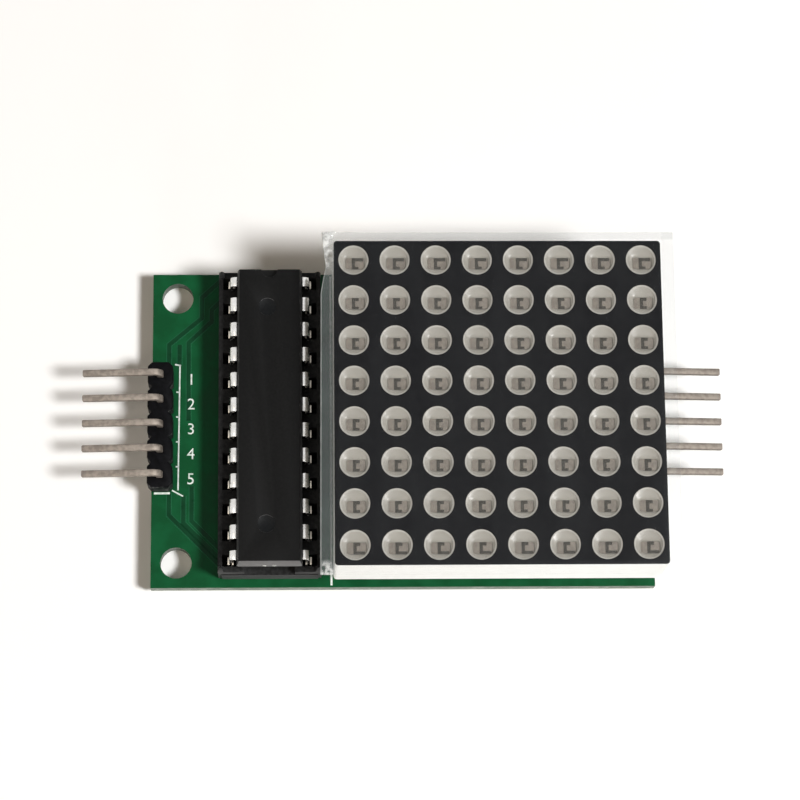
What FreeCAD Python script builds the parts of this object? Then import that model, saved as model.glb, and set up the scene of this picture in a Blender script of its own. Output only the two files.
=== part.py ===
import FreeCAD, Part
import math
import os

import Sketcher
from FreeCAD import Vector

# An 8 by 8 light-emitting-diode display on its driver board, in millimetres.
# The origin is on the board's underside, at the middle of its four mounting holes.
# X runs from the input pins to the output pins and Z points out of the display.

SIZES = {
    # Board and its four mounting holes
    "board_length": 50.0,
    "board_width": 32.0,
    "board_thick": 1.6,
    "mount_hole_dia": 3.1,
    "mount_inset": 2.5,
    # What the leaded pieces share
    "lead_pitch": 2.54,
    "tail_below": 1.2,
    "solder_gap": 0.12,
    # Display: housing, windows and what is potted inside it
    "display_x": 9.0,
    "display_side": 32.0,
    "display_height": 8.0,
    "display_draft": 1.0,
    "display_corner": 0.3,
    "display_wall": 1.2,
    "dot_count": 8,
    "dot_pitch": 4.0,
    "dot_dia": 3.0,
    "front_plate": 3.4,
    "led_board_thick": 1.0,
    "potting_recess": 0.4,
    "pin_row_gap": 24.0,
    "display_pins": 8,
    "display_pin_side": 0.5,
    "display_pin_length": 3.6,
    # Protective film on the display's face
    "film_thick": 0.1,
    "film_length": 34.6,
    "film_width": 33.6,
    "film_shift_x": -0.1,
    # Female strips that the display plugs into
    "strip_width": 2.5,
    "strip_height": 5.0,
    "strip_end": 0.1,
    "strip_pocket_long": 1.6,
    "strip_pocket_wide": 1.1,
    "strip_floor": 0.7,
    # Socket of the driver chip
    "socket_x": -13.2,
    "socket_y": 0.1,
    "socket_width": 10.16,
    "socket_length": 30.48,
    "socket_height": 3.6,
    "socket_corner": 0.35,
    "socket_rail": 2.6,
    "socket_rail_inset": 0.1,
    "socket_bar": 1.6,
    "socket_bar_height": 2.4,
    "socket_openings": 3,
    "socket_pocket_long": 1.7,
    "socket_pocket_wide": 1.2,
    "socket_floor": 0.4,
    "corner_post": 0.6,
    "corner_post_height": 1.2,
    "corner_post_draft": 10.0,
    # Driver chip and its formed leads
    "chip_row_gap": 7.62,
    "chip_leads": 12,
    "chip_length": 29.65,
    "chip_width": 6.4,
    "chip_half_height": 1.65,
    "chip_draft": 8.0,
    "chip_standoff": 0.1,
    "chip_notch_dia": 1.6,
    "chip_notch_depth": 0.6,
    "chip_lead_thick": 0.25,
    "chip_lead_shoulder": 1.4,
    "chip_lead_tip": 0.46,
    "chip_lead_bend": 0.3,
    "chip_lead_depth": 2.9,
    # Sprung contacts of the socket and of the strips
    "leaf_thick": 0.2,
    "leaf_width": 0.8,
    "leaf_below_mouth": 0.4,
    "tail_width": 0.5,
    # Pin headers at the two ends
    "header_pins": 5,
    "header_inset": 0.9,
    "header_width": 2.5,
    "header_height": 2.54,
    "header_chamfer": 0.42,
    "header_pin_side": 0.64,
    "header_pin_reach": 6.75,
    "header_pin_gap": 0.25,
    "header_bend": 0.35,
    "header_droop": 5.0,
    # What the three leaded parts under the display share
    "wire_dia": 0.5,
    "wire_bend": 0.6,
    "lie_gap": 0.1,
    # Resistor
    "resistor_x": 4.0,
    "resistor_span": 10.16,
    "resistor_length": 6.3,
    "resistor_dia": 2.3,
    "resistor_waist_dia": 1.9,
    "resistor_cap": 1.5,
    # Ceramic capacitor
    "ceramic_x": 9.0,
    "ceramic_y": -5.0,
    "ceramic_span": 2.54,
    "ceramic_width": 4.2,
    "ceramic_thick": 2.4,
    "ceramic_height": 3.6,
    "ceramic_lift": 0.7,
    "ceramic_round": 0.8,
    # Electrolytic capacitor, laid on its side
    "can_x": 14.0,
    "can_y": 3.5,
    "can_dia": 4.0,
    "can_length": 7.0,
    "can_groove_place": 1.3,
    "can_groove_width": 0.5,
    "can_groove_depth": 0.25,
    "can_rim": 0.3,
    "bung_depth": 0.9,
    "can_wire_gap": 1.5,
    "can_wire_reach": 1.9,
}

# Heights above the board's underside, and places that several pieces share
STRIP_TOP = "(Sizes.board_thick + Sizes.strip_height)"
SOCKET_TOP = "(Sizes.board_thick + Sizes.socket_height)"
DISPLAY_TOP = "(Sizes.board_thick + Sizes.strip_height + Sizes.display_height)"
PARTING_LINE = f"({SOCKET_TOP} + Sizes.chip_standoff + Sizes.chip_half_height)"
TAIL_END = "(-Sizes.tail_below)"
HEADER_X = "(Sizes.board_length / 2 - Sizes.header_inset)"
ROW_Y = "Sizes.pin_row_gap / 2"
CAN_END = "(Sizes.can_x - Sizes.can_length / 2)"
RESISTOR_AXIS = "(Sizes.board_thick + Sizes.lie_gap + Sizes.resistor_dia / 2)"
CAN_AXIS = "(Sizes.board_thick + Sizes.lie_gap + Sizes.can_dia / 2)"

# Holes that clear what is soldered in them
TAIL_HOLE = "(sqrt(Sizes.leaf_thick ^ 2 + Sizes.tail_width ^ 2) + 2 * Sizes.solder_gap)"
PIN_HOLE = "(sqrt(2) * Sizes.header_pin_side + 2 * Sizes.solder_gap)"
WIRE_HOLE = "(Sizes.wire_dia + 2 * Sizes.solder_gap)"

# Sides of the small rounds that repeat many times
DOT_SIDES = 16
HOLE_SIDES = 8

doc = FreeCAD.newDocument("led_dot_matrix")


def fill_sheet():
    sheet = doc.addObject("Spreadsheet::Sheet", "Sizes")
    for row, (alias, value) in enumerate(SIZES.items(), start=1):
        sheet.set(f"A{row}", str(value))
        sheet.setAlias(f"A{row}", alias)
    doc.recompute()


def bind(thing, **formulas):
    for name, formula in formulas.items():
        thing.setExpression(name, formula)


def new_body(name, x=None, y=None, z=None):
    """A body whose own origin stands at a place given by formulas."""
    body = doc.addObject("PartDesign::Body", name)
    body.Label = name
    for axis, formula in (("x", x), ("y", y), ("z", z)):
        if formula:
            body.setExpression(f"Placement.Base.{axis}", formula)
    return body


def origin_item(body, role):
    return next(item for item in body.Origin.OriginFeatures if item.Role == role)


def new_sketch(body, name, plane="XY_Plane", x=None, y=None, z=None):
    """A sketch on one of the body's planes, moved along the sketch's own axes by formulas."""
    sketch = body.newObject("Sketcher::SketchObject", name)
    sketch.AttachmentSupport = [(origin_item(body, plane), "")]
    sketch.MapMode = "FlatFace"
    for axis, formula in (("x", x), ("y", y), ("z", z)):
        if formula:
            sketch.setExpression(f"AttachmentOffset.Base.{axis}", formula)
    return sketch


def constrain(sketch, kind, elements, value, formula):
    index = sketch.addConstraint(Sketcher.Constraint(kind, *elements, value))
    sketch.setExpression(f"Constraints[{index}]", formula)


def add_rectangle(sketch, width, height):
    """A rectangle centred on the sketch's origin."""
    corners = [Vector(-1, -1, 0), Vector(1, -1, 0), Vector(1, 1, 0), Vector(-1, 1, 0)]
    for index in range(4):
        sketch.addGeometry(Part.LineSegment(corners[index], corners[(index + 1) % 4]))
    for index in range(4):
        sketch.addConstraint(Sketcher.Constraint("Coincident", index, 2, (index + 1) % 4, 1))
        sketch.addConstraint(Sketcher.Constraint("Vertical" if index % 2 else "Horizontal", index))
    sketch.addConstraint(Sketcher.Constraint("Symmetric", 0, 1, 1, 2, -1, 1))
    constrain(sketch, "DistanceX", (0, 1, 0, 2), 2, width)
    constrain(sketch, "DistanceY", (1, 1, 1, 2), 2, height)


def add_circle(sketch, diameter):
    """A circle centred on the sketch's origin."""
    sketch.addGeometry(Part.Circle(Vector(0, 0, 0), Vector(0, 0, 1), 1))
    sketch.addConstraint(Sketcher.Constraint("Coincident", 0, 3, -1, 1))
    constrain(sketch, "Diameter", (0,), 2, diameter)


def add_polygon(sketch, diameter, sides):
    """A regular polygon inside a circle about the sketch's origin, with flats across the axes."""
    turns = [360 * (index + 0.5) / sides for index in range(sides)]
    add_outline(sketch, [(f"{diameter} / 2 * cos({turn})", f"{diameter} / 2 * sin({turn})")
                         for turn in turns])


def arc_between(start, end, radius, clockwise):
    """The short arc of a given radius from one point to another."""
    chord = end - start
    rise = math.sqrt(max(radius ** 2 - chord.Length ** 2 / 4, 0))
    across = Vector(chord.y, -chord.x, 0).normalize()
    centre = (start + end) / 2 + across * (rise if clockwise else -rise)
    middle = (start + end) / 2 - centre
    return Part.Arc(start, centre + middle.normalize() * radius, end)


def add_outline(sketch, points, closed=True):
    """Edges through points given as formulas; a third item bends the edge that follows.

    That item is the arc's radius and whether the arc runs clockwise.
    """
    places = [Vector(*(sketch.evalExpression(text) for text in point[:2]), 0) for point in points]
    first = sketch.GeometryCount
    ends = []
    for index in range(len(points) if closed else len(points) - 1):
        start, end = places[index], places[(index + 1) % len(points)]
        if len(points[index]) == 2:
            sketch.addGeometry(Part.LineSegment(start, end))
            ends.append((1, 2))
        else:
            radius, clockwise = points[index][2]
            edge = sketch.addGeometry(arc_between(start, end, sketch.evalExpression(radius), clockwise))
            constrain(sketch, "Radius", (edge,), sketch.evalExpression(radius), radius)
            ends.append((2, 1) if clockwise else (1, 2))
    for index, (x, y, *_) in enumerate(points):
        if index < len(ends):
            corner = (-1, 1, first + index, ends[index][0])
        else:
            corner = (-1, 1, first + index - 1, ends[index - 1][1])
        constrain(sketch, "DistanceX", corner, places[index].x, x)
        constrain(sketch, "DistanceY", corner, places[index].y, y)
    for index in range(len(ends) if closed else len(ends) - 1):
        following = (index + 1) % len(ends)
        sketch.addConstraint(Sketcher.Constraint(
            "Coincident", first + index, ends[index][1], first + following, ends[following][0]))


def pad(body, sketch, name, length, both_sides=False, taper=None, down=False):
    feature = body.newObject("PartDesign::Pad", name)
    feature.Profile = sketch
    feature.SideType = "Symmetric" if both_sides else "One side"
    feature.Reversed = down
    bind(feature, Length=length)
    if taper:
        bind(feature, TaperAngle=taper)
    return feature


def pocket(body, sketch, name, depth=None, up=False):
    """A cut downwards from the sketch, or upwards, as deep as said or through everything."""
    feature = body.newObject("PartDesign::Pocket", name)
    feature.Profile = sketch
    feature.Reversed = up
    if depth:
        bind(feature, Length=depth)
    else:
        feature.Type = "ThroughAll"
    return feature


def revolve(body, sketch, name, axis):
    feature = body.newObject("PartDesign::Revolution", name)
    feature.Profile = sketch
    feature.ReferenceAxis = (sketch, [axis])
    feature.Angle = 360
    return feature


def soften(body, base, kind, name, axis, **size):
    """Fillets or chamfers on the edges of a block that run along one axis."""
    doc.recompute()
    edges = [f"Edge{index}" for index, edge in enumerate(base.Shape.Edges, start=1)
             if abs(getattr(edge.tangentAt(edge.FirstParameter), axis)) > 0.9]
    feature = body.newObject(f"PartDesign::{kind}", name)
    feature.Base = (base, edges)
    bind(feature, **size)


def first_of(count, gap):
    """Where the first of so many copies lies when they are centred on the origin."""
    return f"(-({count} - 1) / 2 * ({gap}))"


def repeat(body, feature, name, columns="1", column_gap="0", rows="1", row_gap="0"):
    """Copies of a feature in columns along X and rows along Y."""
    lines = [(role, count, gap) for role, count, gap in
             (("X_Axis", columns, column_gap), ("Y_Axis", rows, row_gap)) if count != "1"]
    pattern = body.newObject("PartDesign::LinearPattern", name)
    pattern.Originals = [feature]
    for ending, (role, count, gap) in zip(("", "2"), lines):
        setattr(pattern, "Direction" + ending, (origin_item(body, role), [""]))
        setattr(pattern, "Mode" + ending, "Extent")
        bind(pattern, **{"Occurrences" + ending: count, "Length" + ending: f"({count} - 1) * ({gap})"})
    body.Tip = pattern
    return pattern


CHIP_GRID = dict(columns="2", column_gap="Sizes.chip_row_gap",
                 rows="Sizes.chip_leads", row_gap="Sizes.lead_pitch")
STRIP_GRID = dict(columns="Sizes.display_pins", column_gap="Sizes.lead_pitch")
DISPLAY_GRID = dict(**STRIP_GRID, rows="2", row_gap="Sizes.pin_row_gap")
HEADER_GRID = dict(columns="2", column_gap=f"2 * {HEADER_X}",
                   rows="Sizes.header_pins", row_gap="Sizes.lead_pitch")
DOT_GRID = dict(columns="Sizes.dot_count", column_gap="Sizes.dot_pitch",
                rows="Sizes.dot_count", row_gap="Sizes.dot_pitch")
MOUNT_GRID = dict(columns="2", column_gap="(Sizes.board_length - 2 * Sizes.mount_inset)",
                  rows="2", row_gap="(Sizes.board_width - 2 * Sizes.mount_inset)")


def grid_start(grid, x="0", y="0"):
    """The first place of a grid that is centred on x and y, as the sketch's offsets."""
    return dict(x=f"{x} + {first_of(grid.get('columns', '1'), grid.get('column_gap', '0'))}",
                y=f"{y} + {first_of(grid.get('rows', '1'), grid.get('row_gap', '0'))}")


def circuit_board():
    body = new_body("circuit_board")
    outline = new_sketch(body, "board_outline")
    add_rectangle(outline, "Sizes.board_length", "Sizes.board_width")
    pad(body, outline, "board_sheet", "Sizes.board_thick")
    first = new_sketch(body, "mounting_hole", z="Sizes.board_thick", **grid_start(MOUNT_GRID))
    add_circle(first, "Sizes.mount_hole_dia")
    repeat(body, pocket(body, first, "mounting_drill"), "mounting_holes", **MOUNT_GRID)
    solder_holes(body, "chip_socket", TAIL_HOLE, CHIP_GRID, x="Sizes.socket_x", y="Sizes.socket_y")
    solder_holes(body, "display_strip", TAIL_HOLE, DISPLAY_GRID, x="Sizes.display_x")
    solder_holes(body, "header", PIN_HOLE, HEADER_GRID)
    solder_holes(body, "resistor", WIRE_HOLE, dict(rows="2", row_gap="Sizes.resistor_span"),
                 x="Sizes.resistor_x")
    solder_holes(body, "ceramic", WIRE_HOLE, dict(columns="2", column_gap="Sizes.ceramic_span"),
                 x="Sizes.ceramic_x", y="Sizes.ceramic_y")
    solder_holes(body, "can", WIRE_HOLE, dict(rows="2", row_gap="Sizes.can_wire_gap"),
                 x=f"{CAN_END} - Sizes.can_wire_reach", y="Sizes.can_y")
    return body


def solder_holes(body, name, diameter, grid, x="0", y="0"):
    """A grid of small holes through the board."""
    first = new_sketch(body, f"{name}_hole", z="Sizes.board_thick", **grid_start(grid, x, y))
    add_polygon(first, diameter, HOLE_SIDES)
    repeat(body, pocket(body, first, f"{name}_drill"), f"{name}_holes", **grid)


def matrix_housing():
    """White moulding, open at the back, with one round light well for each dot."""
    body = new_body("matrix_housing", x="Sizes.display_x", z=STRIP_TOP)
    foot = new_sketch(body, "housing_foot")
    add_rectangle(foot, "Sizes.display_side", "Sizes.display_side")
    block = pad(body, foot, "housing_block", "Sizes.display_height", taper="-Sizes.display_draft")
    soften(body, block, "Chamfer", "housing_corners", "z", Size="Sizes.display_corner")
    back = new_sketch(body, "housing_back")
    add_rectangle(back, POTTED_SIDE, POTTED_SIDE)
    pocket(body, back, "housing_cavity", "Sizes.display_height - Sizes.front_plate", up=True)
    mouth = new_sketch(body, "well_mouth", z="Sizes.display_height", **grid_start(DOT_GRID))
    add_polygon(mouth, "Sizes.dot_dia", DOT_SIDES)
    repeat(body, pocket(body, mouth, "well", "Sizes.front_plate"), "wells", **DOT_GRID)
    return body


POTTED_SIDE = "(Sizes.display_side - 2 * Sizes.display_wall)"
CAVITY_DEPTH = "(Sizes.display_height - Sizes.front_plate)"


def led_windows():
    """Milky resin cast in the wells, flush with the face."""
    body = new_body("led_windows", x="Sizes.display_x", z=f"{DISPLAY_TOP} - Sizes.front_plate")
    disc = new_sketch(body, "window_disc", **grid_start(DOT_GRID))
    add_polygon(disc, "Sizes.dot_dia", DOT_SIDES)
    repeat(body, pad(body, disc, "window", "Sizes.front_plate"), "windows", **DOT_GRID)
    return body


def potted_plate(name, height, z):
    """A plate that fills the housing's cavity, with square holes for the display's pins."""
    body = new_body(name, x="Sizes.display_x", z=z)
    plate = new_sketch(body, f"{name}_outline")
    add_rectangle(plate, POTTED_SIDE, POTTED_SIDE)
    pad(body, plate, f"{name}_plate", height)
    hole = new_sketch(body, f"{name}_hole", z=height, **grid_start(DISPLAY_GRID))
    add_rectangle(hole, "Sizes.display_pin_side", "Sizes.display_pin_side")
    repeat(body, pocket(body, hole, f"{name}_pin_hole"), f"{name}_pin_holes", **DISPLAY_GRID)
    return body


def led_board():
    return potted_plate("led_board", "Sizes.led_board_thick",
                        f"{STRIP_TOP} + {CAVITY_DEPTH} - Sizes.led_board_thick")


def potting_resin():
    return potted_plate("potting_resin", f"{CAVITY_DEPTH} - Sizes.led_board_thick - Sizes.potting_recess",
                        f"{STRIP_TOP} + Sizes.potting_recess")


def matrix_pins(name, side):
    """One row of the display's pins, from its inner board down into the strip below."""
    body = new_body(name, x="Sizes.display_x", y=f"{side} * {ROW_Y}",
                    z=f"{STRIP_TOP} - Sizes.display_pin_length")
    end = new_sketch(body, f"{name}_end", **grid_start(STRIP_GRID))
    add_rectangle(end, "Sizes.display_pin_side", "Sizes.display_pin_side")
    pin = pad(body, end, f"{name}_pin", f"Sizes.display_pin_length + {CAVITY_DEPTH}")
    repeat(body, pin, f"{name}_row", **STRIP_GRID)
    return body


def protective_film():
    body = new_body("protective_film", x="Sizes.display_x + Sizes.film_shift_x", z=DISPLAY_TOP)
    sheet = new_sketch(body, "film_outline")
    add_rectangle(sheet, "Sizes.film_length", "Sizes.film_width")
    pad(body, sheet, "film_sheet", "Sizes.film_thick")
    return body


def contact_cells(body, name, grid, top, floor, length, width):
    """Open pockets down to a floor, and a slot through that floor for each tail."""
    mouth = new_sketch(body, f"{name}_mouth", z=top, **grid_start(grid))
    add_rectangle(mouth, length, width)
    repeat(body, pocket(body, mouth, f"{name}_pocket", f"{top} - {floor}"), f"{name}_pockets", **grid)
    slot = new_sketch(body, f"{name}_slot", z=top, **grid_start(grid))
    add_rectangle(slot, "Sizes.leaf_thick", "Sizes.tail_width")
    repeat(body, pocket(body, slot, f"{name}_tail_slot"), f"{name}_tail_slots", **grid)


def contacts(name, grid, x, y, floor, top, grip):
    """Sprung forks: two leaves on a bridge that stands on the floor, and a tail below it."""
    body = new_body(name, x=x, y=y, z="Sizes.board_thick")
    start = grid_start(grid)
    fork = new_sketch(body, f"{name}_fork", plane="XZ_Plane", x=start["x"], z=f"-({start['y']})")
    inside, outside = f"({grip} / 2)", f"({grip} / 2 + Sizes.leaf_thick)"
    bridge, tip = f"{floor} + Sizes.leaf_thick", f"{top} - Sizes.leaf_below_mouth"
    add_outline(fork, [(f"-{outside}", floor), (outside, floor), (outside, tip), (inside, tip),
                       (inside, bridge), (f"-{inside}", bridge), (f"-{inside}", tip), (f"-{outside}", tip)])
    repeat(body, pad(body, fork, f"{name}_leaves", "Sizes.leaf_width", both_sides=True),
           f"{name}_forks", **grid)
    tail = new_sketch(body, f"{name}_tail", z=floor, **start)
    add_rectangle(tail, "Sizes.leaf_thick", "Sizes.tail_width")
    leg = pad(body, tail, f"{name}_leg", f"{floor} + Sizes.board_thick + Sizes.tail_below", down=True)
    repeat(body, leg, f"{name}_legs", **grid)
    return body


def display_socket(name, side):
    """A low female strip under one row of the display's pins."""
    body = new_body(name, x="Sizes.display_x", y=f"{side} * {ROW_Y}", z="Sizes.board_thick")
    outline = new_sketch(body, f"{name}_outline")
    add_rectangle(outline, "Sizes.display_pins * Sizes.lead_pitch + 2 * Sizes.strip_end", "Sizes.strip_width")
    pad(body, outline, f"{name}_block", "Sizes.strip_height")
    contact_cells(body, name, STRIP_GRID, "Sizes.strip_height", "Sizes.strip_floor",
                  "Sizes.strip_pocket_long", "Sizes.strip_pocket_wide")
    return body


def display_contacts(name, side):
    return contacts(name, STRIP_GRID, "Sizes.display_x", f"{side} * {ROW_Y}",
                    "Sizes.strip_floor", "Sizes.strip_height", "Sizes.display_pin_side")


def chip_socket():
    """Two rails of contact cells on a low ladder frame, with a pointed post at each corner."""
    body = new_body("ic_socket", x="Sizes.socket_x", y="Sizes.socket_y", z="Sizes.board_thick")
    frame = new_sketch(body, "ladder_outline")
    add_rectangle(frame, "Sizes.socket_width", "Sizes.socket_length")
    ladder = pad(body, frame, "ladder", "Sizes.socket_bar_height")
    soften(body, ladder, "Chamfer", "ladder_corners", "z", Size="Sizes.socket_corner")
    rail_x = "(Sizes.socket_width / 2 - Sizes.socket_rail / 2)"
    rails = dict(columns="2", column_gap=f"2 * {rail_x}")
    rail = new_sketch(body, "rail_outline", **grid_start(rails))
    add_rectangle(rail, "Sizes.socket_rail", "Sizes.socket_length - 2 * Sizes.socket_rail_inset")
    repeat(body, pad(body, rail, "rail", "Sizes.socket_height"), "rails", **rails)
    opening = "((Sizes.socket_length - Sizes.socket_bar) / Sizes.socket_openings - Sizes.socket_bar)"
    openings = dict(rows="Sizes.socket_openings", row_gap=f"{opening} + Sizes.socket_bar")
    between = new_sketch(body, "opening_outline", z="Sizes.socket_height", **grid_start(openings))
    add_rectangle(between, "Sizes.socket_width - 2 * Sizes.socket_rail", opening)
    repeat(body, pocket(body, between, "opening"), "openings", **openings)
    posts = dict(columns="2", column_gap="(Sizes.socket_width - Sizes.corner_post)", rows="2",
                 row_gap="(Sizes.socket_length - 2 * Sizes.socket_rail_inset - Sizes.corner_post)")
    post = new_sketch(body, "post_foot", z="Sizes.socket_height", **grid_start(posts))
    add_rectangle(post, "Sizes.corner_post", "Sizes.corner_post")
    repeat(body, pad(body, post, "post", "Sizes.corner_post_height", taper="-Sizes.corner_post_draft"),
           "posts", **posts)
    contact_cells(body, "chip", CHIP_GRID, "Sizes.socket_height", "Sizes.socket_floor",
                  "Sizes.socket_pocket_long", "Sizes.socket_pocket_wide")
    return body


def chip_contacts():
    return contacts("ic_socket_contacts", CHIP_GRID, "Sizes.socket_x", "Sizes.socket_y",
                    "Sizes.socket_floor", "Sizes.socket_height", "Sizes.chip_lead_thick")


def driver_chip():
    """Moulded in two halves, each drawn in from the parting line, with a notch at one end."""
    body = new_body("driver_ic", x="Sizes.socket_x", y="Sizes.socket_y", z=PARTING_LINE)
    parting = new_sketch(body, "chip_parting_line")
    add_rectangle(parting, "Sizes.chip_width", "Sizes.chip_length")
    pad(body, parting, "upper_half", "Sizes.chip_half_height", taper="-Sizes.chip_draft")
    pad(body, parting, "lower_half", "Sizes.chip_half_height", taper="-Sizes.chip_draft", down=True)
    end = "Sizes.chip_length / 2 - Sizes.chip_half_height * tan(Sizes.chip_draft)"
    notch = new_sketch(body, "chip_notch_circle", y=end, z="Sizes.chip_half_height")
    add_circle(notch, "Sizes.chip_notch_dia")
    pocket(body, notch, "chip_notch", "Sizes.chip_notch_depth")
    return body


def bent_bar(sketch, side, leg_x, foot, corner, arm_end, thick, bend, droop="0"):
    """Outline of a flat bar: a leg up from its foot, a bend, and an arm out to arm_end.

    corner is the height of the arm's middle line at the bend, and droop the arm's fall in degrees.
    """
    half, outer = f"({thick} / 2)", f"({bend} + {thick})"
    centre_x = f"({leg_x} + {side} * ({half} + {bend}))"
    centre_z = f"({corner} - {half} - {bend})"
    run = f"(({side} * ({arm_end} - {centre_x}) - ({bend} + {half}) * sin({droop})) / cos({droop}))"

    def past_bend(radius, reach="0"):
        return (f"{centre_x} + {side} * ({radius} * sin({droop}) + {reach} * cos({droop}))",
                f"{centre_z} + {radius} * cos({droop}) - {reach} * sin({droop})")
    add_outline(sketch, [
        (f"{leg_x} - {side} * {half}", foot),
        (f"{leg_x} - {side} * {half}", centre_z, (outer, side > 0)),
        past_bend(outer), past_bend(outer, run), past_bend(bend, run),
        (*past_bend(bend), (bend, side < 0)),
        (f"{leg_x} + {side} * {half}", centre_z),
        (f"{leg_x} + {side} * {half}", foot)])


def chip_leads():
    """Stamped leads: wide shoulders that stop on the socket, and narrow tips inside it."""
    body = new_body("driver_ic_leads", x="Sizes.socket_x", y="Sizes.socket_y", z=PARTING_LINE)
    seat = "(-Sizes.chip_half_height - Sizes.chip_standoff)"
    first_y = first_of("Sizes.chip_leads", "Sizes.lead_pitch")
    rows = dict(rows="Sizes.chip_leads", row_gap="Sizes.lead_pitch")
    formed = new_sketch(body, "lead_side_view", plane="XZ_Plane", z=f"-{first_y}")
    for side in (1, -1):
        bent_bar(formed, side, f"{-side} * Sizes.chip_row_gap / 2", seat, "0",
                 f"{-side} * Sizes.chip_width / 2", "Sizes.chip_lead_thick", "Sizes.chip_lead_bend")
    repeat(body, pad(body, formed, "shoulder", "Sizes.chip_lead_shoulder", both_sides=True),
           "shoulders", **rows)
    tips = new_sketch(body, "tip_end", z=seat, **grid_start(CHIP_GRID))
    add_rectangle(tips, "Sizes.chip_lead_thick", "Sizes.chip_lead_tip")
    repeat(body, pad(body, tips, "tip", "Sizes.chip_lead_depth", down=True), "tips", **CHIP_GRID)
    ends = dict(rows="2", row_gap=f"(-2 * {first_y} + Sizes.chip_lead_tip + Sizes.chip_lead_shoulder)")
    trim = new_sketch(body, "end_trim_outline", z=seat, **grid_start(ends))
    add_rectangle(trim, "Sizes.socket_width", "Sizes.chip_lead_shoulder")
    repeat(body, pocket(body, trim, "end_trim", up=True), "end_trims", **ends)
    return body


def header_body(name, side):
    """Black strip, notched between its pins, that overhangs the board's end a little."""
    body = new_body(name, x=f"{side} * {HEADER_X}", z="Sizes.board_thick")
    rows = dict(rows="Sizes.header_pins", row_gap="Sizes.lead_pitch")
    segment = new_sketch(body, f"{name}_segment", **grid_start(rows))
    half_x, half_y = "Sizes.header_width / 2", "Sizes.lead_pitch / 2"
    cut_x, cut_y = f"({half_x} - Sizes.header_chamfer)", f"({half_y} - Sizes.header_chamfer)"
    add_outline(segment, [
        (f"-{cut_x}", f"-{half_y}"), (cut_x, f"-{half_y}"), (half_x, f"-{cut_y}"), (half_x, cut_y),
        (cut_x, half_y), (f"-{cut_x}", half_y), (f"-{half_x}", cut_y), (f"-{half_x}", f"-{cut_y}")])
    repeat(body, pad(body, segment, f"{name}_block", "Sizes.header_height"), f"{name}_blocks", **rows)
    hole = new_sketch(body, f"{name}_hole", z="Sizes.header_height", **grid_start(rows))
    add_rectangle(hole, "Sizes.header_pin_side", "Sizes.header_pin_side")
    repeat(body, pocket(body, hole, f"{name}_pin_hole"), f"{name}_pin_holes", **rows)
    return body


def header_pins(name, side):
    """Square pins that rise through the strip and are bent outwards just above it."""
    body = new_body(name, x=f"{side} * {HEADER_X}")
    rows = dict(rows="Sizes.header_pins", row_gap="Sizes.lead_pitch")
    bent = new_sketch(body, f"{name}_side_view", plane="XZ_Plane", z=f"-({grid_start(rows)['y']})")
    arm = ("Sizes.board_thick + Sizes.header_height + Sizes.header_pin_gap"
           " + Sizes.header_bend + Sizes.header_pin_side / 2")
    bent_bar(bent, side, "0", TAIL_END, arm, f"{side} * (Sizes.header_inset + Sizes.header_pin_reach)",
             "Sizes.header_pin_side", "Sizes.header_bend", "Sizes.header_droop")
    repeat(body, pad(body, bent, f"{name}_pin", "Sizes.header_pin_side", both_sides=True),
           f"{name}_row", **rows)
    return body


def bent_wire(body, name, plane, side, leg, arm_end, axis_height, **foot_place):
    """A round wire: up through the board, a bend, and along to the end of its part."""
    path = new_sketch(body, f"{name}_path", plane=plane, z=foot_place.pop("path_shift", None))
    bend_start = f"{axis_height} - Sizes.wire_bend"
    add_outline(path, [
        (leg, TAIL_END),
        (leg, bend_start, ("Sizes.wire_bend", side > 0)),
        (f"{leg} + {side} * Sizes.wire_bend", axis_height),
        (arm_end, axis_height)], closed=False)
    section = new_sketch(body, f"{name}_section", z=TAIL_END, **foot_place)
    add_polygon(section, "Sizes.wire_dia", HOLE_SIDES)
    wire = body.newObject("PartDesign::AdditivePipe", f"{name}_wire")
    wire.Profile = section
    wire.Spine = (path, ["Edge1", "Edge2", "Edge3"])
    return wire


def resistor():
    body = new_body("resistor_body", x="Sizes.resistor_x", z=RESISTOR_AXIS)
    half = new_sketch(body, "resistor_half", plane="YZ_Plane")
    end, cap = "Sizes.resistor_length / 2", "(Sizes.resistor_length / 2 - Sizes.resistor_cap)"
    full, waist = "Sizes.resistor_dia / 2", "Sizes.resistor_waist_dia / 2"
    add_outline(half, [(f"-{end}", "0"), (end, "0"), (end, full), (cap, full), (cap, waist),
                       (f"-{cap}", waist), (f"-{cap}", full), (f"-{end}", full)])
    revolve(body, half, "resistor_turned", "H_Axis")
    return body


def resistor_wires():
    body = new_body("resistor_leads", x="Sizes.resistor_x")
    for name, side in (("rear", -1), ("front", 1)):
        leg = f"{-side} * Sizes.resistor_span / 2"
        bent_wire(body, name, "YZ_Plane", side, leg, f"{-side} * Sizes.resistor_length / 2",
                  RESISTOR_AXIS, y=leg)
    return body


def ceramic_capacitor():
    body = new_body("ceramic_capacitor", x="Sizes.ceramic_x", y="Sizes.ceramic_y",
                    z="Sizes.board_thick + Sizes.ceramic_lift")
    front = new_sketch(body, "ceramic_front", plane="XZ_Plane", y="Sizes.ceramic_height / 2")
    add_rectangle(front, "Sizes.ceramic_width", "Sizes.ceramic_height")
    block = pad(body, front, "ceramic_block", "Sizes.ceramic_thick", both_sides=True)
    soften(body, block, "Fillet", "ceramic_rounds", "y", Radius="Sizes.ceramic_round")
    return body


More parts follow.
